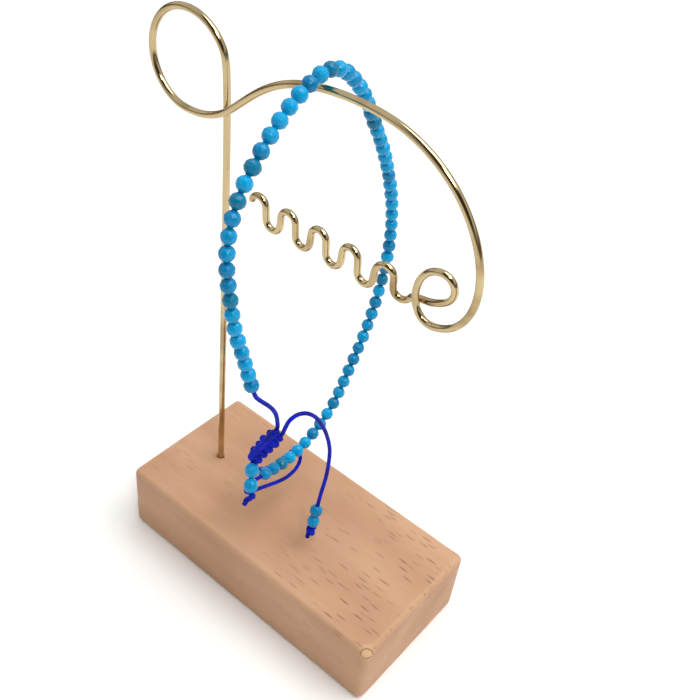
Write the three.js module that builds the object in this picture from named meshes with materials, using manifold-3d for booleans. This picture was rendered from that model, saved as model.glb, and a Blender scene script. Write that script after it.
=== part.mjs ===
// Beaded bracelet with a sliding knot, hung over the arm of a bent wire stand in a wooden block.
// Millimetres, +Z up. The origin is the middle of the block's underside, +X runs along the block.

import * as THREE from 'three';
import { RoundedBoxGeometry } from 'three/addons/geometries/RoundedBoxGeometry.js';
import * as BufferGeometryUtils from 'three/addons/utils/BufferGeometryUtils.js';
import Module from 'manifold-3d';

const wasm = await Module();
wasm.setup();

// Wooden block
const blockLength = 66;
const blockWidth = 32;
const blockHeight = 16.5;
const blockEdge = 1.2;
const blockEdgeSteps = 2;

// Bent wire: post, round eye, arm, curl and a row of even waves
const wireDiameter = 1.3;
const wireSides = 8;
const socketDepth = 11;
const socketClearance = 0.3;
const postInset = 10.6;
const eyeRadius = 8.5;
const eyeLift = 90;
const eyeTurn = 0.75;
const eyeSteps = 18;
const armSpan = 61;
const armRise = 14.5;
const curlWidth = 6.6;
const curlHeight = 9.2;
const wavePitch = 6.8;
const waveHeight = 5.4;
const waveCount = 5;
const waveSteps = 5;
const crossingGap = 0.3;

// Faceted stone beads
const beadDiameter = 2.6;
const beadSides = 10;
const beadNeckDiameter = 1;
const beadRimShare = 0.74;

// Nylon cord and its knots
const cordDiameter = 0.8;
const cordSides = 8;
const cordStep = 1.7;
const slidingKnotWidth = 3.6;
const slidingKnotThickness = 2.2;
const slidingKnotBumps = 4;
const endKnotDiameter = 1.8;
const endStubLength = 1.5;

// Small gap that touching pieces keep
const seatGap = 0.3;

// Points closer than this are one corner
const mergeTolerance = 1e-4;

// The bracelet's points have their heights measured from the crest of the arm that it hangs on.
// Chosen route of the string of beads, from its near end over the arm to its far end
const stringRoute = [
  [4.22, -19.8, -44.6], [3.4, -21.6, -36.7], [2.7, -22.8, -31.2], [1.8, -23.2, -25], [0.9, -23.1, -19.5],
  [0.2, -21.9, -14.5], [-0.4, -19.6, -10.3], [-0.9, -16.2, -6.5], [-1.4, -12.1, -3], [-1.9, -7.8, -0.3],
  [-2.4, -3.4, 1.3], [-2.8, 0.5, 1.95], [-3.2, 4.9, 0.7], [-3.5, 10.6, -4.3], [-4.1, 16, -11.9],
  [-4.7, 22.2, -22.1], [-5, 26.8, -34], [-5, 27.8, -46], [-4.6, 24.6, -58.7], [-4, 18, -70.3],
  [-3.8, 13.4, -77.1], [-3.4, 6.8, -80.7], [-2.9, 0.2, -81.4], [-2.45, -8.9, -79.65],
];

// Chosen route of the short cord from the string's near end into the sliding knot
const nearCordRoute = [
  [4.26, -19.71, -44.94], [4.45, -19.2, -46.4], [4.85, -18.1, -47.9], [5.2, -16.8, -49.5], [5.3, -15.6, -51.3],
  [5.1, -14.6, -53.3], [4.75, -13.8, -55.4], [4.4, -13.2, -57.1], [4.12, -12.86, -58.3],
];

// Chosen route of the slack cord from the string's far end round that end and up to the knot
const slackCordRoute = [
  [-2.43, -9.24, -79.56], [-2.4, -10.6, -79.3], [-2.5, -11.9, -79.4], [-2.7, -12.7, -80.4], [-2.9, -12.5, -81.7],
  [-3.05, -11.4, -82.8], [-3.2, -9.6, -83.8], [-3.2, -7.5, -84.7], [-3.2, -5.3, -85.7], [-3.2, -2.3, -87],
  [-3.2, 0.6, -87.7], [-3.2, 3, -87.1], [-3.6, 4.5, -85.9], [-4.3, 4.8, -84.5], [-4.8, 3.6, -83.4],
  [-4.8, 0.6, -83.2], [-4.7, -2.6, -82.9], [-4.7, -5.2, -82], [-4.8, -7.2, -80.6], [-4.5, -8.3, -78.5],
  [-3.4, -9.3, -75.9], [-2.1, -10.6, -73.2], [-0.6, -12.1, -70.5], [0.7, -13.55, -68.45], [1.75, -14.75, -67.2],
];

// Chosen route of the long tail that leaves the knot's upper end and hangs down free
const tailCordRoute = [
  [5.3, -12.65, -59], [5.6, -12.4, -57.4], [6, -11.9, -55.8], [6.5, -10.7, -55], [7, -9.1, -55.3],
  [7.5, -7.2, -56.9], [7.9, -5.3, -59.9], [8.1, -3.4, -64.1], [8.2, -2, -68.9], [8.1, -1.6, -73.5],
  [8, -1.8, -77.5], [7.9, -2.6, -81.5], [7.85, -3.1, -84.5],
];

// Chosen ends of the sliding knot, the way its flat side lies and the run of the short tail
const slidingKnotTop = [4.5, -12.9, -59.1];
const slidingKnotFoot = [1.3, -15.6, -66.2];
const slidingKnotAcross = [0.88, 0.14, -0.45];
const shortTailRun = [0.33, -0.39, -0.86];
const shortTailSetting = { across: 0.1, front: 0.45, below: 0.75 };

// Colours of the finishes
const beech = { color: 0xcda283, roughness: 0.6, metalness: 0 };
const brass = { color: 0xcdb36a, roughness: 0.22, metalness: 1 };
const turquoise = { color: 0x1aa0dc, roughness: 0.3, metalness: 0 };
const nylon = { color: 0x1420b4, roughness: 0.55, metalness: 0 };

// One bead as rings: along is a share of the bead's length, reach a share of its radius
const neckShare = beadNeckDiameter / beadDiameter;
const beadRings = [
  { along: 0, reach: neckShare },
  { along: 0.13, reach: beadRimShare },
  { along: 0.34, reach: 1 },
  { along: 0.66, reach: 1 },
  { along: 0.87, reach: beadRimShare },
];

// An end knot as rings: along is a share of the knot's length, reach a share of its radius
const endKnotRings = [
  { along: 0, reach: 0.45 },
  { along: 0.22, reach: 0.86 },
  { along: 0.5, reach: 1 },
  { along: 0.78, reach: 0.86 },
];

// How far the sennit reaches at its loops, between them and at its two ends
const sennitReach = { loop: 1, waist: 0.82, end: 0.72 };

// The arm from the eye's lowest point to the curl: along is a share of the span, up one of the rise
const armTable = [
  { along: 0.075, up: 0.02 },
  { along: 0.151, up: 0.17 },
  { along: 0.2, up: 0.36 },
  { along: 0.25, up: 0.56 },
  { along: 0.3, up: 0.73 },
  { along: 0.36, up: 0.87 },
  { along: 0.43, up: 0.955 },
  { along: 0.51, up: 0.993 },
  { along: 0.587, up: 1 },
  { along: 0.669, up: 0.98 },
  { along: 0.733, up: 0.92 },
  { along: 0.8, up: 0.81 },
  { along: 0.861, up: 0.64 },
  { along: 0.9, up: 0.49 },
  { along: 0.935, up: 0.31 },
  { along: 0.965, up: 0.1 },
  { along: 0.986, up: -0.13 },
  { along: 0.997, up: -0.37 },
  { along: 0.995, up: -0.61 },
  { along: 0.979, up: -0.83 },
  { along: 0.95, up: -1 },
];

// The stretch of the arm in which the wire comes back from beside the post to the middle plane
const armCrossing = { from: 0.2, to: 0.6 };

// The curl round its own middle: across is a share of its width, up one of its height
const curlTable = [
  { across: 0.36, up: -0.57 },
  { across: 0.02, up: -0.64 },
  { across: -0.26, up: -0.55 },
  { across: -0.44, up: -0.36 },
  { across: -0.5, up: -0.1 },
  { across: -0.44, up: 0.18 },
  { across: -0.26, up: 0.39 },
  { across: 0.02, up: 0.49 },
  { across: 0.3, up: 0.46 },
  { across: 0.47, up: 0.3 },
  { across: 0.48, up: 0.1 },
  { across: 0.34, up: -0.08 },
  { across: 0.08, up: -0.22 },
  { across: -0.22, up: -0.33 },
];

// Where the arm's end meets the curl, and the rows of the curl before it steps back behind itself
const curlJoin = { across: 0.7, up: -0.42 };
const curlFrontRows = 5;

function vector([x, y, z]) {
  return new THREE.Vector3(x, y, z);
}

function smoothCurve(points) {
  return new THREE.CatmullRomCurve3(points, false, 'centripetal');
}

function material({ color, roughness, metalness }) {
  return new THREE.MeshStandardMaterial({ color, roughness, metalness });
}

function piece(name, geometry, finish) {
  const mesh = new THREE.Mesh(geometry, material(finish));
  mesh.name = name;
  return mesh;
}

// A closed geometry as a solid for cutting and joining
function toSolid(geometry) {
  const bare = geometry.clone();
  bare.deleteAttribute('normal');
  bare.deleteAttribute('uv');
  const merged = BufferGeometryUtils.mergeVertices(bare, mergeTolerance);
  return new wasm.Manifold(new wasm.Mesh({
    numProp: 3,
    vertProperties: new Float32Array(merged.attributes.position.array),
    triVerts: new Uint32Array(merged.index.array),
  }));
}

function toGeometry(solid) {
  const mesh = solid.getMesh();
  const geometry = new THREE.BufferGeometry();
  geometry.setAttribute('position', new THREE.BufferAttribute(new Float32Array(mesh.vertProperties), 3));
  geometry.setIndex(new THREE.BufferAttribute(new Uint32Array(mesh.triVerts), 1));
  geometry.computeVertexNormals();
  return geometry;
}

// A round bar of one diameter along a curve
function roundBar(curve, diameter, sides, steps) {
  const section = new THREE.Shape();
  for (let side = 0; side < sides; side += 1) {
    const turn = (side / sides) * 2 * Math.PI;
    const x = (diameter / 2) * Math.cos(turn);
    const y = (diameter / 2) * Math.sin(turn);
    if (side === 0) section.moveTo(x, y);
    else section.lineTo(x, y);
  }
  section.closePath();
  return new THREE.ExtrudeGeometry(section, { steps, extrudePath: curve, bevelEnabled: false, curveSegments: 1 });
}

// A closed skin over rings of points, with a flat end on the first and the last ring
function skinOverRings(rings) {
  const sides = rings[0].points.length;
  const positions = [];
  const faces = [];
  rings.forEach((ring) => ring.points.forEach((point) => positions.push(point.x, point.y, point.z)));
  for (let row = 0; row + 1 < rings.length; row += 1) {
    for (let side = 0; side < sides; side += 1) {
      const next = (side + 1) % sides;
      const here = row * sides;
      const above = here + sides;
      faces.push(here + side, here + next, above + side);
      faces.push(here + next, above + next, above + side);
    }
  }
  const ends = [rings[0], rings[rings.length - 1]];
  ends.forEach((ring) => positions.push(ring.centre.x, ring.centre.y, ring.centre.z));
  const firstCentre = rings.length * sides;
  const lastRow = (rings.length - 1) * sides;
  for (let side = 0; side < sides; side += 1) {
    const next = (side + 1) % sides;
    faces.push(firstCentre, next, side);
    faces.push(firstCentre + 1, lastRow + side, lastRow + next);
  }
  const geometry = new THREE.BufferGeometry();
  geometry.setAttribute('position', new THREE.Float32BufferAttribute(positions, 3));
  geometry.setIndex(faces);
  geometry.computeVertexNormals();
  return geometry;
}

// One ring of points round a centre, across the run of a piece
function ringAcross(centre, across, upright, wide, thick, sides, turn) {
  const points = [];
  for (let side = 0; side < sides; side += 1) {
    const angle = ((side + turn) / sides) * 2 * Math.PI;
    points.push(centre.clone()
      .addScaledVector(across, wide * Math.cos(angle))
      .addScaledVector(upright, thick * Math.sin(angle)));
  }
  return { centre, points };
}

// Rings of a row of beads along a curve, each ring turned half a side from the last to cut facets
function beadRow(curve, count) {
  const rings = [];
  let across = null;
  let lastTangent = null;
  const spots = [];
  for (let bead = 0; bead < count; bead += 1) {
    beadRings.forEach((ring) => spots.push({ share: (bead + ring.along) / count, reach: ring.reach }));
  }
  spots.push({ share: 1, reach: neckShare });
  spots.forEach((spot, index) => {
    const tangent = curve.getTangentAt(spot.share);
    if (across === null) {
      across = new THREE.Vector3(1, 0, 0).addScaledVector(tangent, -tangent.x).normalize();
    } else {
      across = across.clone().applyQuaternion(new THREE.Quaternion().setFromUnitVectors(lastTangent, tangent));
    }
    lastTangent = tangent;
    const upright = tangent.clone().cross(across);
    const reach = (beadDiameter / 2) * spot.reach;
    const turn = (index % 2) / 2;
    rings.push(ringAcross(curve.getPointAt(spot.share), across, upright, reach, reach, beadSides, turn));
  });
  return rings;
}

// A straight run from a point, long enough for one small piece
function straightRun(from, direction, length) {
  return new THREE.LineCurve3(from, from.clone().addScaledVector(direction, length));
}

function singleBead(from, direction) {
  return skinOverRings(beadRow(straightRun(from, direction, beadDiameter), 1));
}

// A small round knot with the cord's cut end standing out of it
function endKnot(from, direction) {
  const sideways = new THREE.Vector3(1, 0, 0).addScaledVector(direction, -direction.x).normalize();
  const upright = direction.clone().cross(sideways);
  const stubReach = cordDiameter / endKnotDiameter;
  const rings = [
    ...endKnotRings,
    { along: 1, reach: stubReach },
    { along: 1 + endStubLength / endKnotDiameter, reach: stubReach },
  ];
  return skinOverRings(rings.map(({ along, reach }) => {
    const centre = from.clone().addScaledVector(direction, along * endKnotDiameter);
    const radius = (endKnotDiameter / 2) * reach;
    return ringAcross(centre, sideways, upright, radius, radius, beadSides, 0);
  }));
}

// Block with a blind hole that takes the foot of the wire
function baseBlock() {
  const box = new RoundedBoxGeometry(blockLength, blockWidth, blockHeight, blockEdgeSteps, blockEdge);
  box.translate(0, 0, blockHeight / 2);
  const holeDiameter = wireDiameter + 2 * socketClearance;
  const holeLength = socketDepth + blockEdge;
  const hole = new THREE.CylinderGeometry(holeDiameter / 2, holeDiameter / 2, holeLength, wireSides * 2);
  hole.rotateX(Math.PI / 2);
  hole.translate(postX, 0, blockHeight - socketDepth + holeLength / 2);
  return toGeometry(toSolid(box).subtract(toSolid(hole)));
}

// Where the wire's parts stand, from the named sizes
const postX = -blockLength / 2 + postInset;
const eyeX = postX - eyeRadius;
const eyeHeight = blockHeight + eyeLift;
const eyeFootHeight = eyeHeight - eyeRadius;
const armCrestHeight = eyeFootHeight + armRise;
const crossingShift = wireDiameter + crossingGap;
const armEnd = armTable[armTable.length - 1];
const curlX = eyeX + armEnd.along * armSpan - curlJoin.across * curlWidth;
const curlZ = eyeFootHeight + armEnd.up * armRise - curlJoin.up * curlHeight;

function postPoints() {
  const foot = blockHeight - socketDepth + socketClearance;
  const heights = [foot, blockHeight, (blockHeight + eyeFootHeight) / 2, eyeFootHeight];
  return heights.map((height) => new THREE.Vector3(postX, 0, height));
}

function eyePoints() {
  const points = [];
  for (let stop = 1; stop <= eyeSteps; stop += 1) {
    const share = stop / eyeSteps;
    const turn = share * eyeTurn * 2 * Math.PI;
    points.push(new THREE.Vector3(
      eyeX + eyeRadius * Math.cos(turn),
      -crossingShift * share,
      eyeHeight + eyeRadius * Math.sin(turn),
    ));
  }
  return points;
}

// The arm starts beside the post and comes back to the middle plane once it is past it
function armPoints() {
  return armTable.map(({ along, up }) => new THREE.Vector3(
    eyeX + along * armSpan,
    -crossingShift * (1 - THREE.MathUtils.smoothstep(along, armCrossing.from, armCrossing.to)),
    eyeFootHeight + up * armRise,
  ));
}

function curlPoints() {
  const backRows = curlTable.length - 1 - curlFrontRows;
  return curlTable.map(({ across, up }, index) => new THREE.Vector3(
    curlX + across * curlWidth,
    crossingShift * Math.max(0, (index - curlFrontRows) / backRows),
    curlZ + up * curlHeight,
  ));
}

// Even upright waves: half circles joined by straight legs
function wavePoints() {
  const bend = wavePitch / 4;
  const leg = waveHeight - 2 * bend;
  const firstX = curlX - curlWidth / 2 - wireDiameter;
  const curlEnd = curlTable[curlTable.length - 1];
  const middleZ = curlZ + curlEnd.up * curlHeight + leg / 2 - seatGap;
  const points = [];
  const halfWaves = 2 * waveCount;
  for (let half = 0; half < halfWaves; half += 1) {
    const centreX = firstX - bend - half * 2 * bend;
    const side = half % 2 === 0 ? -1 : 1;
    for (let stop = 0; stop <= waveSteps; stop += 1) {
      const turn = (stop / waveSteps) * Math.PI;
      points.push(new THREE.Vector3(
        centreX + bend * Math.cos(turn),
        crossingShift * Math.max(0, 1 - (half + stop / waveSteps) / 2),
        middleZ + side * (leg / 2 + bend * Math.sin(turn)),
      ));
    }
  }
  return points;
}

function wireStand() {
  const points = [...postPoints(), ...eyePoints(), ...armPoints(), ...curlPoints(), ...wavePoints()];
  const curve = smoothCurve(points);
  curve.getUtoTmapping = (share) => share;
  return roundBar(curve, wireDiameter, wireSides, points.length - 1);
}

const stringCurve = smoothCurve(stringRoute.map(vector));

function beadString() {
  const count = Math.round(stringCurve.getLength() / beadDiameter);
  return skinOverRings(beadRow(stringCurve, count));
}

function cordTube(route) {
  const curve = smoothCurve(route.map(vector));
  return roundBar(curve, cordDiameter, cordSides, Math.round(curve.getLength() / cordStep));
}

// The sliding knot's run from top to foot, its flat way across and its front
function slidingKnotFrame() {
  const top = vector(slidingKnotTop);
  const run = vector(slidingKnotFoot).sub(top);
  const direction = run.clone().normalize();
  const across = vector(slidingKnotAcross);
  across.addScaledVector(direction, -across.dot(direction)).normalize();
  return { top, run, across, upright: direction.clone().cross(across) };
}

// A flat sennit of square knots: its sides swell at each knot and draw in between
function slidingKnot() {
  const { top, run, across, upright } = slidingKnotFrame();
  const stops = slidingKnotBumps * 2;
  const rings = [];
  for (let stop = 0; stop <= stops; stop += 1) {
    const isEnd = stop === 0 || stop === stops;
    const inner = stop % 2 === 1 ? sennitReach.loop : sennitReach.waist;
    const share = isEnd ? sennitReach.end : inner;
    const centre = top.clone().addScaledVector(run, stop / stops);
    const wide = (slidingKnotWidth / 2) * share;
    const thick = (slidingKnotThickness / 2) * share;
    rings.push(ringAcross(centre, across, upright, wide, thick, beadSides, 0));
  }
  return skinOverRings(rings);
}

// Beads and closing knot of one tail, in line below a starting point
function tailPieces(prefix, firstBead, from, direction) {
  const nextBead = from.clone().addScaledVector(direction, beadDiameter + seatGap);
  const knotSpot = nextBead.clone().addScaledVector(direction, beadDiameter + seatGap);
  return [
    piece(`tail_bead_${firstBead}`, singleBead(from, direction), turquoise),
    piece(`tail_bead_${firstBead + 1}`, singleBead(nextBead, direction), turquoise),
    piece(`${prefix}_tail_knot`, endKnot(knotSpot, direction), nylon),
  ];
}

function shortTail() {
  const { across, upright } = slidingKnotFrame();
  const direction = vector(shortTailRun).normalize();
  const from = vector(slidingKnotFoot)
    .addScaledVector(across, shortTailSetting.across)
    .addScaledVector(upright, shortTailSetting.front)
    .addScaledVector(direction, shortTailSetting.below);
  return tailPieces('short', 1, from, direction);
}

function longTail() {
  const curve = smoothCurve(tailCordRoute.map(vector));
  const direction = curve.getTangentAt(1);
  const from = curve.getPointAt(1).addScaledVector(direction, seatGap);
  return tailPieces('long', 3, from, direction);
}

const bracelet = new THREE.Group();
bracelet.position.z = armCrestHeight;
bracelet.add(piece('bead_string', beadString(), turquoise));
bracelet.add(piece('near_cord', cordTube(nearCordRoute), nylon));
bracelet.add(piece('slack_cord', cordTube(slackCordRoute), nylon));
bracelet.add(piece('sliding_knot', slidingKnot(), nylon));
bracelet.add(piece('tail_cord', cordTube(tailCordRoute), nylon));
bracelet.add(...shortTail(), ...longTail());

const stand = new THREE.Group();
stand.add(piece('base_block', baseBlock(), beech));
stand.add(piece('wire_stand', wireStand(), brass));

const displayedBracelet = new THREE.Group();
displayedBracelet.add(bracelet, stand);

export default displayedBracelet;
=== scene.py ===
import bmesh
import bpy
import math
import random
from mathutils import Matrix, Quaternion, Vector, noise


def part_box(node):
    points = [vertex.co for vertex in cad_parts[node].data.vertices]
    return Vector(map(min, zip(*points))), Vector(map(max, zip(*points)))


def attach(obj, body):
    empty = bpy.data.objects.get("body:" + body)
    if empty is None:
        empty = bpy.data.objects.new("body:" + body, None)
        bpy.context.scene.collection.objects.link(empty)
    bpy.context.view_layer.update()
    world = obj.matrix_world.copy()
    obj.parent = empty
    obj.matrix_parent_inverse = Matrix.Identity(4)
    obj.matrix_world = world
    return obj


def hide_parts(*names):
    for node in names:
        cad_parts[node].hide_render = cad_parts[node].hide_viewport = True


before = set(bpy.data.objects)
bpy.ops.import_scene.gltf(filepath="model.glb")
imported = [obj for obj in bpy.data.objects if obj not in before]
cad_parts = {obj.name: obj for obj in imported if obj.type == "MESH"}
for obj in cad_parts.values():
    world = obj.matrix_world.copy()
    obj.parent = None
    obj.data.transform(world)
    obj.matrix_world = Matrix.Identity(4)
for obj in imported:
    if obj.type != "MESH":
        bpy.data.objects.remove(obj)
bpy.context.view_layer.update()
print("frame loaded")

mm = 0.001
seed = 27
dice = random.Random(seed)
noise.seed_set(seed)  # the vector noise in the sliding knot starts from the clock unless it is seeded


# camera: where the photograph was taken from, with the directions of its frame

cameraView = {
    "positionMm": (79.8, -103.0, 174.7),
    "right": (0.7646, 0.6364, 0.1020),
    "down": (0.4777, -0.4532, -0.7526),
    "focalPixels": 950,
    "imagePixels": 700,
    "sensorMm": 36,
    "clipMm": 10,
}


def addCamera(view):
    right = Vector(view["right"]).normalized()
    down = Vector(view["down"])
    down = (down - right * down.dot(right)).normalized()
    look = right.cross(down)
    data = bpy.data.cameras.new("photoCamera")
    data.sensor_width = view["sensorMm"]
    data.lens = view["focalPixels"] / view["imagePixels"] * view["sensorMm"]
    data.clip_start = view["clipMm"] * mm
    camera = bpy.data.objects.new("photoCamera", data)
    bpy.context.collection.objects.link(camera)
    turn = Matrix((right, -down, -look)).transposed().to_4x4()
    camera.matrix_world = Matrix.Translation(Vector(view["positionMm"]) * mm) @ turn
    bpy.context.scene.camera = camera


addCamera(cameraView)
print("camera placed")


# small tools: colours, nodes, objects

def linear(hexColour):
    channels = [int(hexColour[at:at + 2], 16) / 255 for at in (1, 3, 5)]
    return tuple(c / 12.92 if c < 0.04045 else ((c + 0.055) / 1.055) ** 2.4 for c in channels) + (1.0,)


def addNode(tree, kind, settings=None, inputs=None, links=None, stops=None):
    node = tree.nodes.new(kind)
    for name, value in (settings or {}).items():
        setattr(node, name, value)
    for name, value in (inputs or {}).items():
        node.inputs[name].default_value = value
    for name, source in (links or {}).items():
        tree.links.new(source, node.inputs[name])
    if stops:
        ramp = node.color_ramp
        while len(ramp.elements) < len(stops):
            ramp.elements.new(0.5)
        for element, (position, hexColour) in zip(ramp.elements, stops):
            element.position = position
            element.color = linear(hexColour)
    return node


def newMaterial(name):
    material = bpy.data.materials.new(name)
    material.use_nodes = True
    tree = material.node_tree
    tree.nodes.clear()
    return material, tree


def newPiece(name, points, faces, material, smooth=True):
    mesh = bpy.data.meshes.new(name)
    mesh.from_pydata([tuple(point) for point in points], [], faces)
    mesh.update()
    mesh.materials.append(material)
    for polygon in mesh.polygons:
        polygon.use_smooth = smooth
    thing = bpy.data.objects.new(name, mesh)
    bpy.context.collection.objects.link(thing)
    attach(thing, "root")
    return thing


def bakeModifiers(thing):
    graph = bpy.context.evaluated_depsgraph_get()
    mesh = bpy.data.meshes.new_from_object(thing.evaluated_get(graph))
    thing.modifiers.clear()
    thing.data = mesh


# materials

nylonLook = {
    "royal": "#0820C4",
    "shade": "#06128A",
    "toneMm": 2.5,
    "toneStops": (0.35, 0.62),
    "roughness": 0.5,
    "ior": 1.53,
    "specular": 0.12,  # the fine filaments shade one another and mirror little of the room
    "sheen": 0.12,
    "sheenTint": "#1638E6",
    "sheenRoughness": 0.4,
    "filamentMm": 0.11,  # real filaments are 0.02 mm, drawn coarser so that they show
    "filamentDepthMm": 0.012,
    "filamentStrength": 0.5,
}


def braidedNylon(look):
    # braided polyamide cord: deep saturated blue with a soft sheen from its fine filaments
    material, tree = newMaterial("braidedNylon")
    place = addNode(tree, "ShaderNodeTexCoord").outputs["Object"]
    tone = addNode(tree, "ShaderNodeTexNoise", inputs={"Scale": 1 / (look["toneMm"] * mm), "Detail": 3.0},
                   links={"Vector": place})
    shadeAt, royalAt = look["toneStops"]
    colour = addNode(tree, "ShaderNodeValToRGB", links={"Fac": tone.outputs["Fac"]},
                     stops=[(shadeAt, look["shade"]), (royalAt, look["royal"])])
    filaments = addNode(tree, "ShaderNodeTexNoise",
                        inputs={"Scale": 1 / (look["filamentMm"] * mm), "Detail": 1.0},
                        links={"Vector": place})
    bump = addNode(tree, "ShaderNodeBump",
                   inputs={"Strength": look["filamentStrength"], "Distance": look["filamentDepthMm"] * mm},
                   links={"Height": filaments.outputs["Fac"]})
    shader = addNode(tree, "ShaderNodeBsdfPrincipled",
                     inputs={"Roughness": look["roughness"], "IOR": look["ior"],
                             "Specular IOR Level": look["specular"], "Sheen Weight": look["sheen"],
                             "Sheen Roughness": look["sheenRoughness"],
                             "Sheen Tint": linear(look["sheenTint"])},
                     links={"Base Color": colour.outputs["Color"], "Normal": bump.outputs["Normal"]})
    addNode(tree, "ShaderNodeOutputMaterial", links={"Surface": shader.outputs["BSDF"]})
    return material


stoneLook = {
    "bright": "#009ED6",
    "middle": "#0080B6",
    "teal": "#00769C",
    "toneStops": (0.1, 0.55, 0.9),
    "cloudMm": 1.4,
    "cloudRange": (0.3, 0.7),
    "cloudShift": 0.16,
    "speckMm": 0.35,
    "speckDepthMm": 0.02,
    "speckStrength": 0.12,
    "roughness": 0.22,
    "roughnessRange": (-0.06, 0.14),
    "ior": 1.59,
    "specular": 0.12,  # the dye deepens the stone, so the white room barely veils it
    "coat": 0.3,
    "coatRoughness": 0.08,
}


def dyedHowlite(look):
    # howlite dyed turquoise and tumble polished: opaque bright blue, a few beads teal, soft gloss
    material, tree = newMaterial("dyedHowlite")
    place = addNode(tree, "ShaderNodeTexCoord").outputs["Object"]
    tone = addNode(tree, "ShaderNodeAttribute", settings={"attribute_name": "beadTone"}).outputs["Fac"]
    cloud = addNode(tree, "ShaderNodeTexNoise", inputs={"Scale": 1 / (look["cloudMm"] * mm), "Detail": 4.0},
                    links={"Vector": place})
    thin, thick = look["cloudRange"]
    shift = addNode(tree, "ShaderNodeMapRange",
                    inputs={"From Min": thin, "From Max": thick, "To Min": -look["cloudShift"],
                            "To Max": look["cloudShift"]},
                    links={"Value": cloud.outputs["Fac"]})
    mixed = addNode(tree, "ShaderNodeMath", settings={"operation": "ADD", "use_clamp": True},
                    links={0: tone, 1: shift.outputs["Result"]})
    brightAt, middleAt, tealAt = look["toneStops"]
    colour = addNode(tree, "ShaderNodeValToRGB", links={"Fac": mixed.outputs["Value"]},
                     stops=[(brightAt, look["bright"]), (middleAt, look["middle"]), (tealAt, look["teal"])])
    speck = addNode(tree, "ShaderNodeTexNoise", inputs={"Scale": 1 / (look["speckMm"] * mm), "Detail": 3.0},
                    links={"Vector": place})
    smoother, rougher = look["roughnessRange"]
    gloss = addNode(tree, "ShaderNodeMapRange",
                    inputs={"To Min": look["roughness"] + smoother, "To Max": look["roughness"] + rougher},
                    links={"Value": speck.outputs["Fac"]})
    bump = addNode(tree, "ShaderNodeBump",
                   inputs={"Strength": look["speckStrength"], "Distance": look["speckDepthMm"] * mm},
                   links={"Height": speck.outputs["Fac"]})
    shader = addNode(tree, "ShaderNodeBsdfPrincipled",
                     inputs={"IOR": look["ior"], "Specular IOR Level": look["specular"],
                             "Coat Weight": look["coat"], "Coat Roughness": look["coatRoughness"]},
                     links={"Base Color": colour.outputs["Color"], "Roughness": gloss.outputs["Result"],
                            "Normal": bump.outputs["Normal"]})
    addNode(tree, "ShaderNodeOutputMaterial", links={"Surface": shader.outputs["BSDF"]})
    return material


brassLook = {
    "gold": "#C6B188",
    "brown": "#9C845C",
    "toneStops": (0.3, 0.5),
    "tarnishMm": 9,
    "roughness": 0.08,
    "roughnessRange": (-0.03, 0.07),
    "drawLineMm": 0.12,
    "drawLineDepthMm": 0.01,
    "drawLineStrength": 0.2,
}


def drawnBrass(look):
    # drawn and polished brass wire: pale gold with crisp highlights and brown reflections
    material, tree = newMaterial("drawnBrass")
    place = addNode(tree, "ShaderNodeTexCoord").outputs["Object"]
    tarnish = addNode(tree, "ShaderNodeTexNoise",
                      inputs={"Scale": 1 / (look["tarnishMm"] * mm), "Detail": 5.0}, links={"Vector": place})
    brownAt, goldAt = look["toneStops"]
    colour = addNode(tree, "ShaderNodeValToRGB", links={"Fac": tarnish.outputs["Fac"]},
                     stops=[(brownAt, look["brown"]), (goldAt, look["gold"])])
    lines = addNode(tree, "ShaderNodeTexNoise",
                    inputs={"Scale": 1 / (look["drawLineMm"] * mm), "Detail": 2.0}, links={"Vector": place})
    smoother, rougher = look["roughnessRange"]
    gloss = addNode(tree, "ShaderNodeMapRange",
                    inputs={"To Min": look["roughness"] + smoother, "To Max": look["roughness"] + rougher},
                    links={"Value": lines.outputs["Fac"]})
    bump = addNode(tree, "ShaderNodeBump",
                   inputs={"Strength": look["drawLineStrength"], "Distance": look["drawLineDepthMm"] * mm},
                   links={"Height": lines.outputs["Fac"]})
    shader = addNode(tree, "ShaderNodeBsdfPrincipled", inputs={"Metallic": 1.0},
                     links={"Base Color": colour.outputs["Color"], "Roughness": gloss.outputs["Result"],
                            "Normal": bump.outputs["Normal"]})
    addNode(tree, "ShaderNodeOutputMaterial", links={"Surface": shader.outputs["BSDF"]})
    return material


beechLook = {
    "pale": "#CB9F7D",
    "warm": "#B88A68",
    "fleck": "#80543A",
    "worn": "#D9B18C",
    "roughness": 0.62,
    "ior": 1.5,
    "broadMm": 12,
    "broadAlong": 0.35,  # patterns are drawn out along the grain by these shares
    "broadStops": (0.32, 0.66),
    "ringWidthMm": 1.6,
    "ringAlong": 0.06,
    "ringRange": (0.45, 0.75),
    "ringShare": 0.35,
    "fleckLengthMm": 5.0,
    "fleckWidthMm": 0.8,
    "fleckReach": (0.33, 0.12),  # how far from its middle a fleck starts and how far in it is full
    "patchMm": 14,
    "patchRange": (0.42, 0.6),
    "patchShare": (0.02, 0.24),
    "coarseEndMm": 20,  # the flecks deepen over this length towards the end below the curl
    "coarseShare": 0.5,
    "topFadeMm": (2.0, 0.5),  # below the block's top the flecks fade, and the sides keep a share
    "sideShare": 0.25,
    "poreMm": 0.5,
    "poreDepthMm": 0.05,
    "poreStrength": 0.3,
    "fleckDepthMm": 0.06,
    "fleckStrength": 0.4,
}

markLook = {
    # the small knot in the wood at the block's near top corner
    "pale": "#E0B48C",
    "rim": "#96684A",
    "insetMm": (-0.4, 0.6, -1.0),
    "stretch": (0.8, 1.05, 1.2),
    "radiusMm": 1.15,
    "rimMm": 0.24,
    "blurMm": 0.12,
    "waverMm": 0.5,
    "waverScaleMm": 1.2,
}


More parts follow.
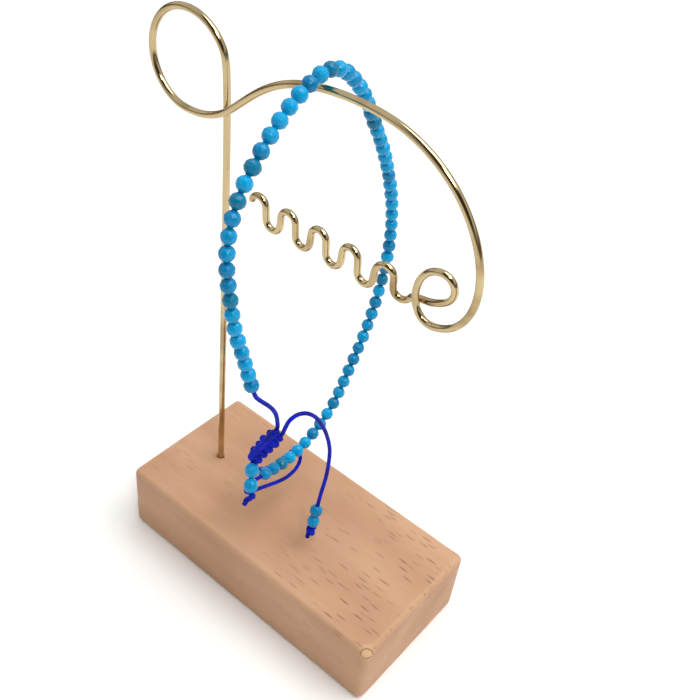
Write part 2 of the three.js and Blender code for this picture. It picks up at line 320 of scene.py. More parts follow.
def cornerMark(tree, place, wood, look):
    # a pale oval with a thin dark rim that wavers, laid over the wood's colour
    low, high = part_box("base_block")
    corner = Vector((high[0], low[1], high[2])) + Vector(look["insetMm"]) * mm
    stretched = addNode(tree, "ShaderNodeMapping", inputs={"Scale": look["stretch"]}, links={"Vector": place})
    middle = Vector(part * share for part, share in zip(corner, look["stretch"]))
    away = addNode(tree, "ShaderNodeVectorMath", settings={"operation": "DISTANCE"}, inputs={1: middle},
                   links={0: stretched.outputs["Vector"]})
    waver = addNode(tree, "ShaderNodeTexNoise",
                    inputs={"Scale": 1 / (look["waverScaleMm"] * mm), "Detail": 2.0}, links={"Vector": place})
    waverBy = addNode(tree, "ShaderNodeMapRange",
                      inputs={"To Min": -look["waverMm"] * mm, "To Max": look["waverMm"] * mm},
                      links={"Value": waver.outputs["Fac"]})
    edge = addNode(tree, "ShaderNodeMath", settings={"operation": "ADD"},
                   links={0: away.outputs["Value"], 1: waverBy.outputs["Result"]})
    for reach, tone in ((look["radiusMm"] + look["rimMm"], "rim"), (look["radiusMm"], "pale")):
        inside = addNode(tree, "ShaderNodeMapRange",
                         inputs={"From Min": (reach + look["blurMm"]) * mm,
                                 "From Max": (reach - look["blurMm"]) * mm},
                         links={"Value": edge.outputs["Value"]})
        wood = addNode(tree, "ShaderNodeMix", settings={"data_type": "RGBA"}, inputs={7: linear(look[tone])},
                       links={"Factor": inside.outputs["Result"], 6: wood}).outputs[2]
    return wood


def sandedBeech(look):
    # steamed beech, sanded and left bare: pinkish tan, faint growth lines and short dark ray flecks
    material, tree = newMaterial("sandedBeech")
    place = addNode(tree, "ShaderNodeTexCoord").outputs["Object"]
    broadPlace = addNode(tree, "ShaderNodeMapping", inputs={"Scale": (look["broadAlong"], 1, 1)},
                         links={"Vector": place})
    broad = addNode(tree, "ShaderNodeTexNoise", inputs={"Scale": 1 / (look["broadMm"] * mm), "Detail": 3.0},
                    links={"Vector": broadPlace.outputs["Vector"]})
    warmAt, paleAt = look["broadStops"]
    base = addNode(tree, "ShaderNodeValToRGB", links={"Fac": broad.outputs["Fac"]},
                   stops=[(warmAt, look["warm"]), (paleAt, look["pale"])])
    ringPlace = addNode(tree, "ShaderNodeMapping", inputs={"Scale": (look["ringAlong"], 1, 1)},
                        links={"Vector": place})
    ring = addNode(tree, "ShaderNodeTexNoise",
                   inputs={"Scale": 1 / (look["ringWidthMm"] * mm), "Detail": 4.0},
                   links={"Vector": ringPlace.outputs["Vector"]})
    faint, full = look["ringRange"]
    ringShare = addNode(tree, "ShaderNodeMapRange",
                        inputs={"From Min": faint, "From Max": full, "To Max": look["ringShare"]},
                        links={"Value": ring.outputs["Fac"]})
    grained = addNode(tree, "ShaderNodeMix", settings={"data_type": "RGBA"}, inputs={7: linear(look["warm"])},
                      links={"Factor": ringShare.outputs["Result"], 6: base.outputs["Color"]})

    # ray flecks: spindles in stretched cells, deeper in patches and at the coarse end, faint on the sides
    length, width = look["fleckLengthMm"] * mm, look["fleckWidthMm"] * mm
    fleckPlace = addNode(tree, "ShaderNodeMapping", inputs={"Scale": (1 / length, 1 / width, 1 / width)},
                         links={"Vector": place})
    cell = addNode(tree, "ShaderNodeTexVoronoi", inputs={"Scale": 1.0, "Randomness": 1.0},
                   links={"Vector": fleckPlace.outputs["Vector"]})
    edgeAt, fullAt = look["fleckReach"]
    spindle = addNode(tree, "ShaderNodeMapRange", inputs={"From Min": edgeAt, "From Max": fullAt},
                      links={"Value": cell.outputs["Distance"]})
    patch = addNode(tree, "ShaderNodeTexNoise", inputs={"Scale": 1 / (look["patchMm"] * mm), "Detail": 2.0},
                    links={"Vector": place})
    bare, dense = look["patchRange"]
    least, most = look["patchShare"]
    patchShare = addNode(tree, "ShaderNodeMapRange",
                         inputs={"From Min": bare, "From Max": dense, "To Min": least, "To Max": most},
                         links={"Value": patch.outputs["Fac"]})
    spot = addNode(tree, "ShaderNodeSeparateXYZ", links={"Vector": place})
    coarseShare = addNode(tree, "ShaderNodeMapRange",
                          inputs={"From Min": 0.0, "From Max": look["coarseEndMm"] * mm,
                                  "To Max": look["coarseShare"]},
                          links={"Value": spot.outputs["X"]})
    depth = addNode(tree, "ShaderNodeMath", settings={"operation": "ADD"},
                    links={0: patchShare.outputs["Result"], 1: coarseShare.outputs["Result"]})
    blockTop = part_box("base_block")[1][2]
    fadeLow, fadeHigh = (blockTop - below * mm for below in look["topFadeMm"])
    topShare = addNode(tree, "ShaderNodeMapRange",
                       inputs={"From Min": fadeLow, "From Max": fadeHigh, "To Min": look["sideShare"]},
                       links={"Value": spot.outputs["Z"]})
    placedDepth = addNode(tree, "ShaderNodeMath", settings={"operation": "MULTIPLY"},
                          links={0: depth.outputs["Value"], 1: topShare.outputs["Result"]})
    fleckShare = addNode(tree, "ShaderNodeMath", settings={"operation": "MULTIPLY"},
                         links={0: spindle.outputs["Result"], 1: placedDepth.outputs["Value"]})
    flecked = addNode(tree, "ShaderNodeMix", settings={"data_type": "RGBA"},
                      inputs={7: linear(look["fleck"])},
                      links={"Factor": fleckShare.outputs["Value"], 6: grained.outputs[2]})

    wear = addNode(tree, "ShaderNodeAttribute", settings={"attribute_name": "wear"}).outputs["Fac"]
    rubbed = addNode(tree, "ShaderNodeMix", settings={"data_type": "RGBA"}, inputs={7: linear(look["worn"])},
                     links={"Factor": wear, 6: flecked.outputs[2]})
    pores = addNode(tree, "ShaderNodeTexNoise", inputs={"Scale": 1 / (look["poreMm"] * mm), "Detail": 3.0},
                    links={"Vector": ringPlace.outputs["Vector"]})
    bump = addNode(tree, "ShaderNodeBump",
                   inputs={"Strength": look["poreStrength"], "Distance": look["poreDepthMm"] * mm},
                   links={"Height": pores.outputs["Fac"]})
    cut = addNode(tree, "ShaderNodeBump", settings={"invert": True},
                  inputs={"Strength": look["fleckStrength"], "Distance": look["fleckDepthMm"] * mm},
                  links={"Height": fleckShare.outputs["Value"], "Normal": bump.outputs["Normal"]})
    shader = addNode(tree, "ShaderNodeBsdfPrincipled",
                     inputs={"Roughness": look["roughness"], "IOR": look["ior"]},
                     links={"Base Color": cornerMark(tree, place, rubbed.outputs[2], markLook),
                            "Normal": cut.outputs["Normal"]})
    addNode(tree, "ShaderNodeOutputMaterial", links={"Surface": shader.outputs["BSDF"]})
    return material


nylon = braidedNylon(nylonLook)
stone = dyedHowlite(stoneLook)
brass = drawnBrass(brassLook)
beech = sandedBeech(beechLook)
print("materials made")


# routes: the chosen points of the frame's cords and string, heights from the crest of the arm

armCrestHeight = 112.5 * mm
curveStep = 0.1 * mm
roundingSlack = 1e-12


def routePoints(rows):
    return [Vector((x, y, z)) * mm + Vector((0, 0, armCrestHeight)) for x, y, z in rows]


def smoothLine(points, step):
    # the same centripetal curve as the solids, as points a step apart with their directions
    ends = [points[0] * 2 - points[1]] + points + [points[-1] * 2 - points[-2]]
    dense = []
    for a, b, c, d in zip(ends, ends[1:], ends[2:], ends[3:]):
        gapAb, gapBc, gapCd = (math.sqrt((q - p).length) for p, q in ((a, b), (b, c), (c, d)))
        leave = ((b - a) / gapAb - (c - a) / (gapAb + gapBc) + (c - b) / gapBc) * gapBc
        reach = ((c - b) / gapBc - (d - b) / (gapBc + gapCd) + (d - c) / gapCd) * gapBc
        count = max(8, math.ceil((c - b).length / curveStep))
        for index in range(count):
            t = index / count
            dense.append(b * (2 * t ** 3 - 3 * t ** 2 + 1) + leave * (t ** 3 - 2 * t ** 2 + t)
                         + c * (3 * t ** 2 - 2 * t ** 3) + reach * (t ** 3 - t ** 2))
    dense.append(points[-1].copy())
    return evenPoints(dense, step)


def lineLength(points):
    return sum((q - p).length for p, q in zip(points, points[1:]))


def evenPoints(dense, step):
    total = lineLength(dense)
    count = max(2, round(total / step))
    spots = []
    travelled = 0
    wanted = 0
    for p, q in zip(dense, dense[1:]):
        reach = (q - p).length
        while len(spots) <= count and wanted <= travelled + reach + roundingSlack:
            spots.append(p.lerp(q, (wanted - travelled) / reach if reach else 0))
            wanted = total * len(spots) / count
        travelled += reach
    if len(spots) <= count:
        spots.append(dense[-1].copy())
    return spots


def framesAlong(points):
    # direction and two cross directions at each point, carried along without twisting
    tangents = [(points[min(i + 1, len(points) - 1)] - points[max(i - 1, 0)]).normalized()
                for i in range(len(points))]
    across = tangents[0].orthogonal().normalized()
    frames = []
    for index, tangent in enumerate(tangents):
        if index:
            across = tangents[index - 1].rotation_difference(tangent) @ across
        across = (across - tangent * across.dot(tangent)).normalized()
        frames.append((tangent, across, tangent.cross(across)))
    return frames


def tubeSkin(points, radiusAt, sides, firstIndex=0):
    # rings round a line, closed by a fan at both ends
    verts = []
    faces = []
    travelled = 0
    frames = framesAlong(points)
    for row, (point, (tangent, across, upright)) in enumerate(zip(points, frames)):
        if row:
            travelled += (point - points[row - 1]).length
        for side in range(sides):
            turn = 2 * math.pi * side / sides
            radius = radiusAt(turn, travelled)
            verts.append(point + across * (radius * math.cos(turn)) + upright * (radius * math.sin(turn)))
    for row in range(len(points) - 1):
        for side in range(sides):
            here = firstIndex + row * sides + side
            beside = firstIndex + row * sides + (side + 1) % sides
            faces.append((here, beside, beside + sides, here + sides))
    first = firstIndex
    last = firstIndex + (len(points) - 1) * sides
    faces.append(tuple(first + side for side in reversed(range(sides))))
    faces.append(tuple(last + side for side in range(sides)))
    return verts, faces


# nylon cord: a round eight-strand braid

cordMake = {
    "diameterMm": 0.8,
    "braidPitchMm": 1.1,
    "carriers": 4,
    "ridgeMm": 0.035,
    "sides": 24,
    "stepMm": 0.09,
    "coreMm": 0.76,  # the same cord where it runs on inside beads and knots, a hair thinner
    "coreSides": 16,
    "joinMm": 0.45,  # how far that hidden run reaches into the visible one
    "threadStepMm": 0.3,
    "coreStepMm": 0.2,
}


def braidRadius(diameter):
    # two families of ridges that wind opposite ways and cross, as the strands of a braid do
    radius = diameter / 2
    ridge = cordMake["ridgeMm"] * mm * diameter / (cordMake["diameterMm"] * mm)
    pitch = cordMake["braidPitchMm"] * mm

    def radiusAt(turn, travelled):
        wind = 2 * math.pi * travelled / pitch
        leftHand = math.cos(cordMake["carriers"] * turn + wind)
        rightHand = math.cos(cordMake["carriers"] * turn - wind)
        return radius - ridge * (1 - max(leftHand, rightHand)) / 2
    return radiusAt


def cordPiece(name, points, node):
    step = cordMake["stepMm"] * mm
    line = smoothLine(points, step)
    verts, faces = tubeSkin(line, braidRadius(cordMake["diameterMm"] * mm), cordMake["sides"])
    piece = newPiece(name, verts, faces, nylon)
    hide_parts(node)
    return piece, line


nearCordRoute = routePoints([
    (4.26, -19.71, -44.94), (4.45, -19.2, -46.4), (4.85, -18.1, -47.9), (5.2, -16.8, -49.5),
    (5.3, -15.6, -51.3), (5.1, -14.6, -53.3), (4.75, -13.8, -55.4), (4.4, -13.2, -57.1),
    (4.12, -12.86, -58.3),
])

slackCordRoute = routePoints([
    (-2.43, -9.24, -79.56), (-2.4, -10.6, -79.3), (-2.5, -11.9, -79.4), (-2.7, -12.7, -80.4),
    (-2.9, -12.5, -81.7), (-3.05, -11.4, -82.8), (-3.2, -9.6, -83.8), (-3.2, -7.5, -84.7),
    (-3.2, -5.3, -85.7), (-3.2, -2.3, -87), (-3.2, 0.6, -87.7), (-3.2, 3, -87.1),
    (-3.6, 4.5, -85.9), (-4.3, 4.8, -84.5), (-4.8, 3.6, -83.4), (-4.8, 0.6, -83.2),
    (-4.7, -2.6, -82.9), (-4.7, -5.2, -82), (-4.8, -7.2, -80.6), (-4.5, -8.3, -78.5),
    (-3.4, -9.3, -75.9), (-2.1, -10.6, -73.2), (-0.6, -12.1, -70.5), (0.7, -13.55, -68.45),
    (1.75, -14.75, -67.2),
])

tailCordRoute = routePoints([
    (5.3, -12.65, -59), (5.6, -12.4, -57.4), (6, -11.9, -55.8), (6.5, -10.7, -55), (7, -9.1, -55.3),
    (7.5, -7.2, -56.9), (7.9, -5.3, -59.9), (8.1, -3.4, -64.1), (8.2, -2, -68.9), (8.1, -1.6, -73.5),
    (8, -1.8, -77.5), (7.9, -2.6, -81.5), (7.85, -3.1, -84.5),
])

nearLine = cordPiece("near_cord_braid", nearCordRoute, "near_cord")[1]
slackCord, slackLine = cordPiece("slack_cord_braid", slackCordRoute, "slack_cord")
tailCord, tailLine = cordPiece("tail_cord_braid", tailCordRoute, "tail_cord")
joinSteps = round(cordMake["joinMm"] / cordMake["stepMm"])
print("cords braided: slack %.1f mm, tail %.1f mm" % (lineLength(slackLine) / mm, lineLength(tailLine) / mm))


# beads: tumbled facets round a drilled hole

beadMake = {
    "diameterMm": 2.6,
    "holeMm": 0.9,
    "sides": 9,
    "latitudes": (-68, -44, -16, 16, 44, 68),  # degrees of the facet rings, each turned half a side
    "mouthShare": 0.985,  # where the drilled mouths lie, as a share of half the length
    "cuts": 8,  # differently ground beads, dealt out along the string
    "wobble": 0.022,
    "edgeMm": 0.07,
    "edgeSteps": 2,
    "sizeSpread": 0.03,
    "tiltDegrees": 5,
    "tones": ((0.0, 0.38), (0.28, 0.24), (0.58, 0.22), (0.95, 0.16)),  # tone, and share of beads with it
    "toneSpread": 0.08,
}


def facetedBead(make):
    # one bead along Z, in millimetres: rings on a ball, each turned half a side, and a drilled hole
    radius = make["diameterMm"] / 2
    hole = make["holeMm"] / 2
    sides = make["sides"]
    belt = math.cos(math.radians(min(abs(a) for a in make["latitudes"])))
    mouth = radius * make["mouthShare"]
    rings = [(radius * math.cos(math.radians(a)) / belt, radius * math.sin(math.radians(a)), index % 2 / 2)
             for index, a in enumerate(make["latitudes"])]
    rings = [(hole, -mouth, 0)] + rings + [(hole, mouth, rings[-1][2])]
    shape = bmesh.new()
    loops = []
    for reach, height, turn in rings:
        loop = []
        for side in range(sides):
            angle = 2 * math.pi * (side + turn) / sides
            ground = reach if reach == hole else reach * (1 + dice.uniform(-1, 1) * make["wobble"])
            loop.append(shape.verts.new((ground * math.cos(angle), ground * math.sin(angle), height)))
        loops.append(loop)
    for low, high, below, above in zip(loops, loops[1:], rings, rings[1:]):
        for side in range(sides):
            beside = (side + 1) % sides
            if above[2] == below[2]:
                shape.faces.new((low[side], low[beside], high[beside], high[side]))
            elif above[2] > below[2]:
                shape.faces.new((low[side], low[beside], high[side]))
                shape.faces.new((low[beside], high[beside], high[side]))
            else:
                shape.faces.new((low[side], high[beside], high[side]))
                shape.faces.new((low[side], low[beside], high[beside]))
    bmesh.ops.bridge_loops(shape, edges=[edge for edge in shape.edges if edge.is_boundary])
    bmesh.ops.recalc_face_normals(shape, faces=shape.faces)
    mouths = loops[0] + loops[-1]
    outside = [edge for edge in shape.edges if any(vert not in mouths for vert in edge.verts)]
    bmesh.ops.bevel(shape, geom=outside, offset=make["edgeMm"], segments=make["edgeSteps"], profile=0.5,
                    affect="EDGES", clamp_overlap=True)
    verts = [vert.co.copy() for vert in shape.verts]
    shape.verts.index_update()
    faces = [tuple(vert.index for vert in face.verts) for face in shape.faces]
    shape.free()
    return verts, faces


def pickTone(make):
    draw = dice.random()
    for tone, share in make["tones"]:
        if draw < share:
            return tone + dice.uniform(-make["toneSpread"], make["toneSpread"])
        draw -= share
    return make["tones"][-1][0]


beadCuts = [facetedBead(beadMake) for cut in range(beadMake["cuts"])]


def setBeads(name, seats, nodes, make):
    # seats are (centre, direction, length along the string)
    verts, faces, tones = [], [], []
    for centre, direction, length in seats:
        start = len(verts)
        template, templateFaces = dice.choice(beadCuts)
        tone = pickTone(make)
        girth = 1 + dice.uniform(-make["sizeSpread"], make["sizeSpread"])
        lean = Quaternion(direction.orthogonal(), math.radians(dice.uniform(-1, 1) * make["tiltDegrees"]))
        aim = lean @ direction.to_track_quat("Z", "Y")
        roll = Quaternion((0, 0, 1), dice.uniform(0, 2 * math.pi))
        stretch = length / (make["diameterMm"] * mm)
        for point in template:
            local = Vector((point.x * girth, point.y * girth, point.z * stretch)) * mm
            verts.append(centre + aim @ (roll @ local))
            tones.append(tone)
        faces.extend(tuple(start + index for index in face) for face in templateFaces)
    piece = newPiece(name, verts, faces, stone, smooth=False)
    layer = piece.data.attributes.new("beadTone", "FLOAT", "POINT")
    layer.data.foreach_set("value", tones)
    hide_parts(*nodes)
    return piece


stringRoute = routePoints([
    (4.22, -19.8, -44.6), (3.4, -21.6, -36.7), (2.7, -22.8, -31.2), (1.8, -23.2, -25), (0.9, -23.1, -19.5),
    (0.2, -21.9, -14.5), (-0.4, -19.6, -10.3), (-0.9, -16.2, -6.5), (-1.4, -12.1, -3), (-1.9, -7.8, -0.3),
    (-2.4, -3.4, 1.3), (-2.8, 0.5, 1.95), (-3.2, 4.9, 0.7), (-3.5, 10.6, -4.3), (-4.1, 16, -11.9),
    (-4.7, 22.2, -22.1), (-5, 26.8, -34), (-5, 27.8, -46), (-4.6, 24.6, -58.7), (-4, 18, -70.3),
    (-3.8, 13.4, -77.1), (-3.4, 6.8, -80.7), (-2.9, 0.2, -81.4), (-2.45, -8.9, -79.65),
])


def stringOfBeads():
    diameter = beadMake["diameterMm"] * mm
    fine = smoothLine(stringRoute, curveStep)
    count = round(lineLength(fine) / diameter)
    halves = evenPoints(fine, lineLength(fine) / (2 * count))
    seats = []
    for bead in range(count):
        low, middle, high = halves[2 * bead:2 * bead + 3]
        seats.append((middle, (high - low).normalized(), (high - low).length))
    setBeads("string_beads", seats, ["bead_string"], beadMake)
    ends = [nearLine[joinSteps], nearLine[0]], [slackLine[0], slackLine[joinSteps]]
    thread, threadFaces = tubeSkin(evenPoints(ends[0] + fine + ends[1], cordMake["threadStepMm"] * mm),
                                   braidRadius(cordMake["coreMm"] * mm), cordMake["coreSides"])
    newPiece("string_thread", thread, threadFaces, nylon)
    return count


print("string of", stringOfBeads(), "beads set")


# tails: two beads and a closing knot on each

knotMake = {
    "strandMm": 0.92,
    "wideMm": 0.34,  # the three sizes stretch the knot's curve across, to the front and along
    "deepMm": 0.27,
    "longMm": 0.05,
    "bend": 1.95,  # how far the curve runs each way from its middle
    "middleMm": 0.95,
    "stubMm": 1.3,
    "points": 44,
    "shortLean": (-1, -0.3, 0),  # which way each knot lies, and how far its cut end leans that way
    "shortLeanShare": 0.6,
    "longLean": (0.45, -0.75, 0),
    "longLeanShare": 0.05,
}


def nodeMiddle(node):
    low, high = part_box(node)
    return (Vector(low) + Vector(high)) / 2


def endKnot(name, node, start, direction, lean, leanShare, make):
    # an overhand knot pulled tight, and the cord's cut end leaning out below it
    across = (lean - direction * lean.dot(direction)).normalized()
    upright = direction.cross(across)
    middle = start + direction * (make["middleMm"] * mm)
    points = [start - direction * (cordMake["joinMm"] * mm), start]
    for index in range(make["points"] + 1):
        t = make["bend"] * (2 * index / make["points"] - 1)
        wide = (t ** 3 - 3 * t) * make["wideMm"]
        deep = (t ** 4 - 4 * t ** 2 + 2) * make["deepMm"]
        along = (t ** 5 - 10 * t) * make["longMm"]
        points.append(middle + (across * wide + upright * deep + direction * along) * mm)
    points.append(points[-1] + (direction + across * leanShare).normalized() * (make["stubMm"] * mm))
    line = smoothLine(points, cordMake["stepMm"] * mm)
    verts, faces = tubeSkin(line, braidRadius(make["strandMm"] * mm), cordMake["sides"])
    piece = newPiece(name, verts, faces, nylon)
    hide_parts(node)
    return piece


def tail(prefix, beadNodes, knotNode, cordEnd):
    first, second = (nodeMiddle(node) for node in beadNodes)
    direction = (second - first).normalized()
    pitch = (second - first).length
    beads = setBeads(prefix + "_tail_beads", [(middle, direction, pitch) for middle in (first, second)],
                     beadNodes, beadMake)
    knotStart = second + direction * (pitch / 2)
    lean = Vector(knotMake[prefix + "Lean"])
    knot = endKnot(prefix + "_tail_end_knot", knotNode, knotStart, direction, lean,
                   knotMake[prefix + "LeanShare"], knotMake)
    line = evenPoints([cordEnd, first, knotStart], cordMake["coreStepMm"] * mm)
    verts, faces = tubeSkin(line, braidRadius(cordMake["coreMm"] * mm), cordMake["coreSides"])
    core = newPiece(prefix + "_tail_core", verts, faces, nylon)
    return [beads, knot, core]


sennitEnds = routePoints([(4.5, -12.9, -59.1), (1.3, -15.6, -66.2)])
tail("short", ["tail_bead_1", "tail_bead_2"], "short_tail_knot", sennitEnds[1])
longTailPieces = tail("long", ["tail_bead_3", "tail_bead_4"], "long_tail_knot", tailLine[-1 - joinSteps])
print("tails made")


# sliding knot: a sennit of square knots round the cords that run through it

sennitMake = {
    "across": (0.88, 0.14, -0.45),
    "widthMm": 3.45,
    "thickMm": 2.2,
    "squareKnots": 4,
    "frontStrandMm": 1.2,
    "frontFlat": 0.55,  # the front strand's crossings lie sunk under the ridge
    "backStrandMm": 1.1,
    "backSwing": 0.74,  # the back strand's loops lie inside the front strand's
    "apartMm": 0.45,
    "coreInset": 0.12,
    "stopsPerHalf": 14,
    "endShare": 0.62,  # the knot narrows to this share at its ends
    "endTaper": 2.2,
    "archRise": 1.25,  # each crossing arches over the cords inside and dips between two knots
    "archPower": 0.7,
    "unevenMm": 0.19,
    "unevenPace": 0.8,
    "unevenOffset": (7.3, 1.7),
    "ridgeStrandMm": 1.45,  # the stacked loops that run down the knot's front as one thick ridge
    "ridgeSwingMm": 0.05,
    "ridgeAside": -0.28,
    "ridgeSink": 0.3,
    "ridgeOverlap": 0.02,
    "ridgeInset": 0.06,
}


def sennitStrand(run, across, upright, side, swing, strand, make):
    # one working cord of the square knots: it crosses the same face each time and turns at both sides
    wide = (make["widthMm"] * mm - strand) / 2 * swing
    thick = (make["thickMm"] * mm - strand) / 2 * (make["frontFlat"] if side > 0 else 1)
    stops = 2 * make["squareKnots"] * make["stopsPerHalf"]
    margin = strand / 2 / run.length
    sideOffset, depthOffset = make["unevenOffset"]
    points = []
    for stop in range(stops + 1):
        phase = stop / make["stopsPerHalf"] * math.pi
        share = margin + (1 - 2 * margin) * stop / stops
        narrow = min(1, make["endShare"] + make["endTaper"] * min(share, 1 - share) * make["squareKnots"] / 2)
        lift = side * (abs(math.sin(phase)) ** make["archPower"] * make["archRise"] - (make["archRise"] - 1))
        looseAt = Vector((phase * make["unevenPace"], side * sideOffset, depthOffset))
        loose = noise.noise_vector(looseAt) * (make["unevenMm"] * mm)
        points.append(sennitEnds[0] + run * share + across * (wide * narrow * math.cos(phase))
                      + upright * (thick * lift) + loose)
    return points


def ridgeStrand(run, across, upright, make):
    # the loops stacked down the knot's front, drawn as one strand that swells and sways at each half knot
    front = upright * ((make["thickMm"] / 2 - make["ridgeStrandMm"] * make["ridgeSink"]) * mm)
    aside = across * (make["ridgeAside"] * make["widthMm"] / 2 * mm)
    stops = 2 * make["squareKnots"] * make["stopsPerHalf"]
    inset = make["ridgeInset"]
    points = [sennitEnds[0] - run * make["ridgeOverlap"]]
    for stop in range(stops + 1):
        sway = math.cos(stop / make["stopsPerHalf"] * math.pi) * make["ridgeSwingMm"] * mm
        along = inset + (1 - 2 * inset) * stop / stops
        points.append(sennitEnds[0] + run * along + aside + front + across * sway)
    points.append(sennitEnds[1] + run * make["ridgeOverlap"])
    return points


def slidingKnot(make):
    run = sennitEnds[1] - sennitEnds[0]
    down = run.normalized()
    across = Vector(make["across"])
    across = (across - down * across.dot(down)).normalized()
    upright = down.cross(across)
    apart = across * (make["apartMm"] * mm)
    inner = run * make["coreInset"]
    frontMm, backMm = make["frontStrandMm"], make["backStrandMm"]
    # the two cords that the knot slides along: near cord to short tail, and long tail to slack cord
    shortCore = [nearLine[-1 - joinSteps], nearLine[-1], sennitEnds[0] - apart + inner,
                 sennitEnds[1] + apart - inner, nodeMiddle("tail_bead_1")]
    longCore = [tailLine[joinSteps], tailLine[0], sennitEnds[0] + apart + inner,
                sennitEnds[1] - apart - inner, slackLine[-1], slackLine[-1 - joinSteps]]
    cords = [
        (sennitStrand(run, across, upright, 1, 1, frontMm * mm, make), frontMm),
        (sennitStrand(run, across, upright, -1, make["backSwing"], backMm * mm, make), backMm),
        (ridgeStrand(run, across, upright, make), make["ridgeStrandMm"]),
        (shortCore, cordMake["coreMm"]),
        (longCore, cordMake["coreMm"]),
    ]
    verts, faces = [], []
    for points, diameterMm in cords:
        line = smoothLine(points, cordMake["stepMm"] * mm)
        skin, skinFaces = tubeSkin(line, braidRadius(diameterMm * mm), cordMake["sides"], len(verts))
        verts += skin
        faces += skinFaces
    piece = newPiece("sliding_knot_sennit", verts, faces, nylon)
    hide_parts("sliding_knot")


slidingKnot(sennitMake)
print("sliding knot tied")


# stand: smooth wire and worn beech block

wireMake = {
    "mergeMm": 0.001,
    "flatDegrees": 60,
    "subdivisions": 2,
    "giveBackMm": 0.06,  # what the rounding off takes from the wire's radius
}


def smoothWire(make):
    # the frame's own wire, with its flats and steps rounded off and its thickness given back
    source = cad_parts["wire_stand"]
    mesh = source.data.copy()
    mesh.materials.clear()
    shape = bmesh.new()
    shape.from_mesh(mesh)
    bmesh.ops.remove_doubles(shape, verts=shape.verts, dist=make["mergeMm"] * mm)
    flat = math.radians(make["flatDegrees"])
    bmesh.ops.join_triangles(shape, faces=shape.faces, angle_face_threshold=flat, angle_shape_threshold=flat)
    shape.to_mesh(mesh)
    shape.free()
    mesh.materials.append(brass)
    wire = bpy.data.objects.new("polished_wire", mesh)
    wire.matrix_world = source.matrix_world.copy()
    bpy.context.collection.objects.link(wire)
    smooth = wire.modifiers.new("roundOff", "SUBSURF")
    smooth.levels = make["subdivisions"]
    smooth.render_levels = make["subdivisions"]
    grow = wire.modifiers.new("fullThickness", "DISPLACE")
    grow.strength = make["giveBackMm"] * mm
    grow.mid_level = 0.0
    bakeModifiers(wire)
    for polygon in wire.data.polygons:
        polygon.use_smooth = True
    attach(wire, "root")
    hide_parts("wire_stand")


smoothWire(wireMake)
print("wire smoothed")

blockMake = {
    "edgeMm": 1.3,
    "gridMm": 1.5,
    "edgeSteps": 5,
    "wearMm": 0.16,
    "wearScales": ((5, 0.6), (1.6, 0.4)),  # size of the worn places in mm, and their share
    "faceWear": 0.25,  # the faces wear by this share of what the edges do
    "edgeFrom": 0.15,
    "edgeTone": 0.22,
    "chipMm": 1.7,
    "chipCorner": (1, -1, 1),
    "chipTone": 0.75,
    "socketMm": 1.5,
    "socketDepthMm": 11,
    "socketSides": 32,
}


def gridLines(half, make):
    edge = make["edgeMm"] * mm
    curved = [half - edge * (1 - math.sin(step / make["edgeSteps"] * math.pi / 2)) for step in
              range(make["edgeSteps"] + 1)]
    inner = half - edge
    count = max(2, round(2 * inner / (make["gridMm"] * mm)))
    flat = [-inner + 2 * inner * index / count for index in range(1, count)]
    return [-value for value in reversed(curved)] + flat + curved


def wornBlock(make):
    low, high = (Vector(corner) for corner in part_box("base_block"))
    middle = (low + high) / 2
    half = (high - low) / 2
    edge = make["edgeMm"] * mm
    lines = [gridLines(half[axis], make) for axis in range(3)]
    spots, faces, keys = [], [], {}

    def spot(cell):
        if cell not in keys:
            keys[cell] = len(spots)
            spots.append(Vector(lines[axis][cell[axis]] for axis in range(3)))
        return keys[cell]

    for axis in range(3):
        u, v = (axis + 1) % 3, (axis + 2) % 3
        for end in (0, len(lines[axis]) - 1):
            for i in range(len(lines[u]) - 1):
                for j in range(len(lines[v]) - 1):
                    corners = []
                    for di, dj in ((0, 0), (1, 0), (1, 1), (0, 1)):
                        cell = [0, 0, 0]
                        cell[axis], cell[u], cell[v] = end, i + di, j + dj
                        corners.append(spot(tuple(cell)))
                    faces.append(tuple(corners if end else reversed(corners)))
    wear = []
    corner = Vector(make["chipCorner"])
    chipNormal = corner.normalized()
    chipPoint = Vector(corner[axis] * half[axis] for axis in range(3)) - chipNormal * make["chipMm"] * mm
    for index, point in enumerate(spots):
        inner = Vector(max(-half[axis] + edge, min(half[axis] - edge, point[axis])) for axis in range(3))
        away = point - inner
        rounded = inner + away.normalized() * edge if away.length > 0 else point
        onEdge = sum(abs(away[axis]) > make["edgeFrom"] * edge for axis in range(3)) > 1
        rub = sum(noise.noise(rounded / (size * mm)) * share for size, share in make["wearScales"])
        rubDepth = max(0, rub) * make["wearMm"] * mm * (1 if onEdge else make["faceWear"])
        rounded = rounded - away.normalized() * rubDepth
        over = (rounded - chipPoint).dot(chipNormal)
        if over > 0:
            rounded = rounded - chipNormal * over
        wear.append(make["chipTone"] if over > 0 else make["edgeTone"] if onEdge else 0.0)
        rounded.z = max(rounded.z, -half.z)
        spots[index] = rounded + middle
    block = newPiece("worn_beech_block", spots, faces, beech)
    layer = block.data.attributes.new("wear", "FLOAT", "POINT")
    layer.data.foreach_set("value", wear)
    boreSocket(block, high.z, make)
    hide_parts("base_block")


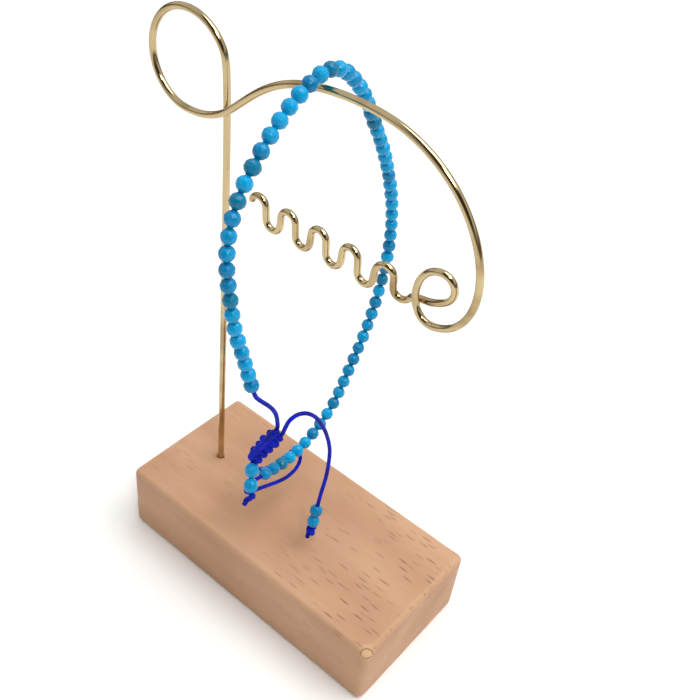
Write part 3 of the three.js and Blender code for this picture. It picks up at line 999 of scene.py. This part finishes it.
def boreSocket(block, topHeight, make):
    # the hole that the post stands in
    post = [point for point in (vertex.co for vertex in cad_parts["wire_stand"].data.vertices)
            if point.z < topHeight]
    postX = sum(point.x for point in post) / len(post)
    depth = make["socketDepthMm"] * mm
    bpy.ops.mesh.primitive_cylinder_add(vertices=make["socketSides"], radius=make["socketMm"] * mm / 2,
                                        depth=2 * depth, location=(postX, 0, topHeight))
    drill = bpy.context.object
    cut = block.modifiers.new("socket", "BOOLEAN")
    cut.operation = "DIFFERENCE"
    cut.object = drill
    cut.solver = "EXACT"
    bakeModifiers(block)
    bpy.data.objects.remove(drill)
    for polygon in block.data.polygons:
        polygon.use_smooth = True


wornBlock(blockMake)
print("block worn and bored")


# studio: pale floor, one broad soft light behind and above, and a small one for the beads' highlights

studio = {
    "floor": "#FCFCFB",
    "floorMm": 6000,
    "floorRoughness": 0.85,
    "room": "#F6F6F4",
    "darkRoom": "#463E34",
    "walls": "#7E7468",
    "ceiling": "#FFFFFF",
    "wallReach": (0.12, 0.42),  # how high the room's darker walls stand, as the sine of the angle
    "cameraSide": (0.46, -0.6, 0.66),  # the room is dark behind the camera, which the wire mirrors
    "cameraSideReach": (0.68, 0.85),  # where that starts and where it is full, as the angle's cosine
    "skyStrength": 0.86,
    "lights": (
        # position, aim and size in mm, then power in watts
        ((330, 240, 1150), (0, 0, 40), 850, 9.6),
        ((420, -260, 700), (0, 0, 60), 150, 1.3),
    ),
}


def addStudio(make):
    half = make["floorMm"] * mm / 2
    mesh = bpy.data.meshes.new("paleFloor")
    corners = [(-half, -half, 0), (half, -half, 0), (half, half, 0), (-half, half, 0)]
    mesh.from_pydata(corners, [], [(0, 1, 2, 3)])
    floor = bpy.data.objects.new("paleFloor", mesh)
    bpy.context.collection.objects.link(floor)
    material, tree = newMaterial("paintedBoard")  # matt white board: even and bright, no gloss
    shader = addNode(tree, "ShaderNodeBsdfPrincipled",
                     inputs={"Base Color": linear(make["floor"]), "Roughness": make["floorRoughness"]})
    addNode(tree, "ShaderNodeOutputMaterial", links={"Surface": shader.outputs["BSDF"]})
    mesh.materials.append(material)
    for index, (position, aim, size, power) in enumerate(make["lights"]):
        data = bpy.data.lights.new("softbox%d" % (index + 1), "AREA")
        data.size = size * mm
        data.energy = power
        lamp = bpy.data.objects.new(data.name, data)
        place = Vector(position) * mm
        turn = (Vector(aim) * mm - place).to_track_quat("-Z", "Y").to_matrix().to_4x4()
        lamp.matrix_world = Matrix.Translation(place) @ turn
        bpy.context.collection.objects.link(lamp)
    world = bpy.data.worlds.new("paleRoom")
    world.use_nodes = True
    room = world.node_tree
    look = addNode(room, "ShaderNodeTexCoord").outputs["Generated"]
    facing = addNode(room, "ShaderNodeVectorMath", settings={"operation": "DOT_PRODUCT"},
                     inputs={1: make["cameraSide"]}, links={0: look})
    near, full = make["cameraSideReach"]
    shade = addNode(room, "ShaderNodeValToRGB", links={"Fac": facing.outputs["Value"]},
                    stops=[(near, make["room"]), (full, make["darkRoom"])])
    low, high = make["wallReach"]
    height = addNode(room, "ShaderNodeSeparateXYZ", links={"Vector": look}).outputs["Z"]
    walls = addNode(room, "ShaderNodeValToRGB", links={"Fac": height},
                    stops=[(low, make["walls"]), (high, make["ceiling"])])
    shaded = addNode(room, "ShaderNodeMix", settings={"data_type": "RGBA", "blend_type": "DARKEN"},
                     inputs={"Factor": 1.0}, links={6: shade.outputs["Color"], 7: walls.outputs["Color"]})
    sky = room.nodes["Background"]
    room.links.new(shaded.outputs[2], sky.inputs["Color"])
    sky.inputs["Strength"].default_value = make["skyStrength"]
    bpy.context.scene.world = world
    bpy.context.scene.view_settings.view_transform = "Standard"


addStudio(studio)
print("studio lit")
